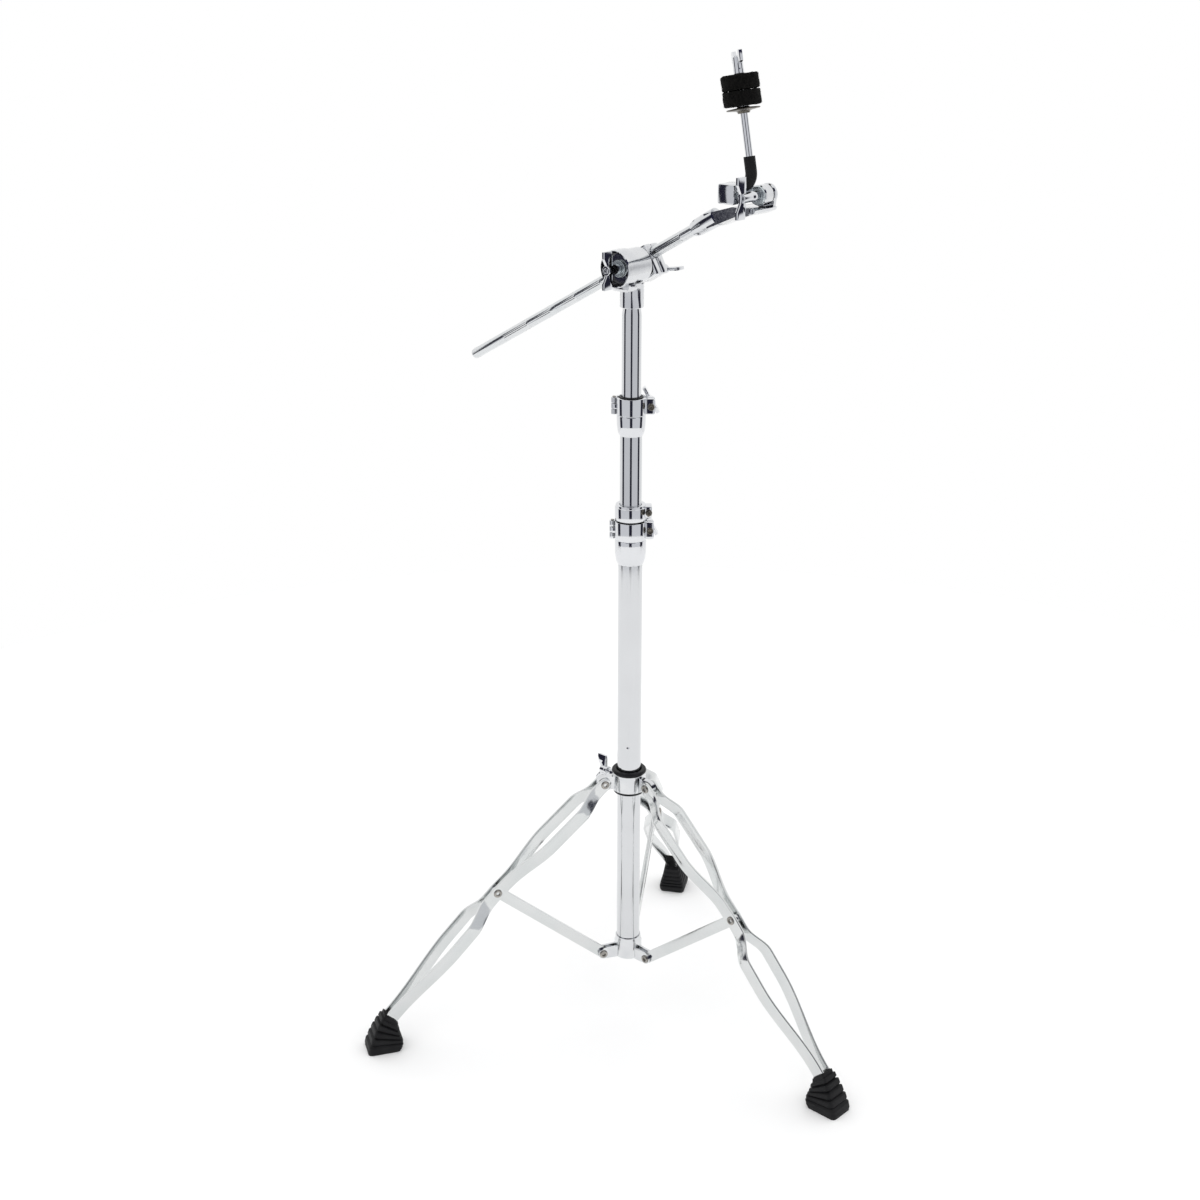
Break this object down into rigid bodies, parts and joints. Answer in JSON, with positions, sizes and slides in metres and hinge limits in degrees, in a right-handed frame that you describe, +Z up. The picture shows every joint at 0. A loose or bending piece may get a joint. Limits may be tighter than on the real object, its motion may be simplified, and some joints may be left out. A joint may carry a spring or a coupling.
{
  "type": "cymbal boom stand",
  "caption": "Folding cymbal stand: braced tripod, telescoping clamped column, tilting boom rod and cymbal tilter with felts and wing fasteners.",
  "frame": {"origin": "the column's axis at the height of the three soles, on the floor", "axes": "+Z up the column; the feet are at azimuths 198, -42 and 78 degrees from +X, and the boom rises towards -40 degrees"},
  "size_m": [0.5895, 0.5736, 1.1872],
  "materials": {
    "chrome": "polished chrome plate",
    "zinc": "bright zinc plate",
    "dark_steel": "dark plated steel",
    "rubber": "matt moulded rubber",
    "nylon": "moulded black nylon",
    "felt": "pressed wool felt"
  },
  "bodies": {
    "stand_base": {"base_tube": "chrome", "base_bracket": "chrome", "left_bracket_rivet": "zinc", "right_bracket_rivet": "zinc", "rear_bracket_rivet": "zinc", "base_collar": "chrome", "base_clamp_gate": "chrome", "base_clamp_hinge_pin": "zinc", "base_clamp_bolt": "dark_steel", "base_bush": "nylon"},
    "base_clamp_nut": {"base_clamp_wing_nut": "chrome"},
    "hub": {"leg_hub": "chrome", "hub_bush": "nylon"},
    "hub_bolt": {"hub_wing_bolt": "chrome"},
    "middle_section": {"middle_tube": "chrome", "middle_collar": "chrome", "middle_clamp_gate": "chrome", "middle_clamp_hinge_pin": "zinc", "middle_clamp_bolt": "dark_steel", "middle_bush": "nylon"},
    "middle_clamp_nut": {"middle_clamp_wing_nut": "chrome"},
    "lock_ring": {"memory_lock": "chrome"},
    "lock_screw": {"memory_lock_screw": "dark_steel"},
    "upper_section": {"upper_tube": "chrome"},
    "boom_tilter": {"tilter_base": "chrome"},
    "boom_clamp": {"tilter_rotor": "chrome", "rod_clamp_jaw": "chrome"},
    "tilt_bolt": {"tilt_wing_bolt": "chrome", "tilt_washer": "zinc"},
    "rod_bolt": {"rod_wing_bolt": "chrome"},
    "boom": {"boom_rod": "chrome"},
    "cymbal_tilter": {"cymbal_tilter_body": "chrome", "cymbal_tilt_nut": "zinc"},
    "cymbal_post": {"cymbal_holder": "chrome", "cymbal_rod": "chrome", "rod_sleeve": "rubber", "cymbal_seat": "zinc", "lower_felt": "felt", "upper_felt": "felt"},
    "cymbal_tilt_bolt": {"cymbal_tilt_wing_bolt": "chrome", "cymbal_tilt_washer": "zinc"},
    "cymbal_nut": {"cymbal_wing_nut": "chrome"},
    "left_brace_link": {"left_brace": "chrome"},
    "left_leg": {"left_leg_strip_1": "chrome", "left_leg_strip_2": "chrome", "left_foot": "rubber", "left_hub_rivet": "zinc", "left_knee_rivet": "zinc"},
    "right_brace_link": {"right_brace": "chrome"},
    "right_leg": {"right_leg_strip_1": "chrome", "right_leg_strip_2": "chrome", "right_foot": "rubber", "right_hub_rivet": "zinc", "right_knee_rivet": "zinc"},
    "rear_brace_link": {"rear_brace": "chrome"},
    "rear_leg": {"rear_leg_strip_1": "chrome", "rear_leg_strip_2": "chrome", "rear_foot": "rubber", "rear_hub_rivet": "zinc", "rear_knee_rivet": "zinc"}
  },
  "joints": [
    {"name": "tripod_fold", "type": "hinge", "parent": "stand_base", "child": "left_brace_link", "pos_m": [-0.03253, -0.01057, 0.0849], "axis": [-0.309, 0.9511, 0], "range_deg": [-2.5, 46]},
    {"name": "right_brace_fold", "type": "hinge", "parent": "stand_base", "child": "right_brace_link", "pos_m": [0.02542, -0.02288, 0.0849], "axis": [-0.6691, -0.7431, 0], "range_deg": [-2.5, 46]},
    {"name": "rear_brace_fold", "type": "hinge", "parent": "stand_base", "child": "rear_brace_link", "pos_m": [0.00711, 0.03345, 0.0849], "axis": [0.9781, -0.2079, 0], "range_deg": [-2.5, 46]},
    {"name": "left_leg_knee", "type": "hinge", "parent": "left_brace_link", "child": "left_leg", "pos_m": [-0.1613, -0.05241, 0.1942], "axis": [0.309, -0.9511, 0], "range_deg": [-4.8, 87.6]},
    {"name": "right_leg_knee", "type": "hinge", "parent": "right_brace_link", "child": "right_leg", "pos_m": [0.12604, -0.11349, 0.1942], "axis": [0.6691, 0.7431, 0], "range_deg": [-4.8, 87.6]},
    {"name": "rear_leg_knee", "type": "hinge", "parent": "rear_brace_link", "child": "rear_leg", "pos_m": [0.03526, 0.16589, 0.1942], "axis": [-0.9781, 0.2079, 0], "range_deg": [-4.8, 87.6]},
    {"name": "hub_slide_pivot", "type": "hinge", "parent": "left_leg", "child": "hub", "pos_m": [-0.0311, -0.0101, 0.3223], "axis": [-0.309, 0.9511, 0], "range_deg": [-2.3, 41.6]},
    {"name": "hub_bolt_turn", "type": "hinge", "parent": "hub", "child": "hub_bolt", "pos_m": [-0.02527, 0.02275, 0.3223], "axis": [-0.7431, 0.6691, 0], "continuous": true},
    {"name": "base_clamp_nut_turn", "type": "hinge", "parent": "stand_base", "child": "base_clamp_nut", "pos_m": [0.0226, 0.00725, 0.6453], "axis": [0, 1, 0], "continuous": true},
    {"name": "middle_tube_height", "type": "slide", "parent": "stand_base", "child": "middle_section", "axis": [0, 0, 1], "range_m": [0, 0.15]},
    {"name": "middle_clamp_nut_turn", "type": "hinge", "parent": "middle_section", "child": "middle_clamp_nut", "pos_m": [0.0226, 0.00725, 0.7932], "axis": [0, 1, 0], "continuous": true},
    {"name": "memory_lock_height", "type": "slide", "parent": "middle_section", "child": "lock_ring", "axis": [0, 0, 1], "range_m": [0, 0.08]},
    {"name": "memory_lock_screw_turn", "type": "hinge", "parent": "lock_ring", "child": "lock_screw", "pos_m": [0.021, -0.0078, 0.6679], "axis": [0, -1, 0], "continuous": true},
    {"name": "upper_tube_height", "type": "slide", "parent": "middle_section", "child": "upper_section", "axis": [0, 0, 1], "range_m": [-0.085, 0.15]},
    {"name": "boom_swivel", "type": "hinge", "parent": "upper_section", "child": "boom_tilter", "pos_m": [0, 0, 0.9058], "axis": [0, 0, 1], "continuous": true},
    {"name": "boom_tilt", "type": "hinge", "parent": "boom_tilter", "child": "boom_clamp", "pos_m": [0, 0, 0.9518], "axis": [-0.6428, -0.766, 0], "range_deg": [-49, 46]},
    {"name": "tilt_bolt_turn", "type": "hinge", "parent": "boom_tilter", "child": "tilt_bolt", "pos_m": [-0.01581, -0.01885, 0.9518], "axis": [-0.6428, -0.766, 0], "continuous": true},
    {"name": "rod_bolt_turn", "type": "hinge", "parent": "boom_clamp", "child": "rod_bolt", "pos_m": [0.02914, 0.02646, 0.94217], "axis": [0.6428, 0.766, 0], "continuous": true},
    {"name": "boom_rod_reach", "type": "slide", "parent": "boom_clamp", "child": "boom", "axis": [0.6706, -0.5627, 0.4833], "range_m": [-0.055, 0.25]},
    {"name": "cymbal_tilter_roll", "type": "hinge", "parent": "boom", "child": "cymbal_tilter", "pos_m": [0.07474, -0.02877, 1.00081], "axis": [0.6706, -0.5627, 0.4833], "continuous": true},
    {"name": "cymbal_tilt", "type": "hinge", "parent": "cymbal_tilter", "child": "cymbal_post", "pos_m": [0.12571, -0.07154, 1.03754], "axis": [0.6428, 0.766, 0], "range_deg": [0, 85]},
    {"name": "cymbal_tilt_bolt_turn", "type": "hinge", "parent": "cymbal_tilter", "child": "cymbal_tilt_bolt", "pos_m": [0.13098, -0.06526, 1.03754], "axis": [-0.6428, -0.766, 0], "continuous": true},
    {"name": "cymbal_nut_turn", "type": "hinge", "parent": "cymbal_post", "child": "cymbal_nut", "pos_m": [0.10834, -0.05696, 1.16905], "axis": [-0.1462, 0.1227, 0.9816], "continuous": true}
  ],
  "couplings": [
    {"joint": "right_brace_fold", "follows": "tripod_fold", "ratio": 1},
    {"joint": "rear_brace_fold", "follows": "tripod_fold", "ratio": 1},
    {"joint": "left_leg_knee", "follows": "tripod_fold", "ratio": 1.902},
    {"joint": "right_leg_knee", "follows": "tripod_fold", "ratio": 1.902},
    {"joint": "rear_leg_knee", "follows": "tripod_fold", "ratio": 1.902},
    {"joint": "hub_slide_pivot", "follows": "tripod_fold", "ratio": 0.902}
  ]
}
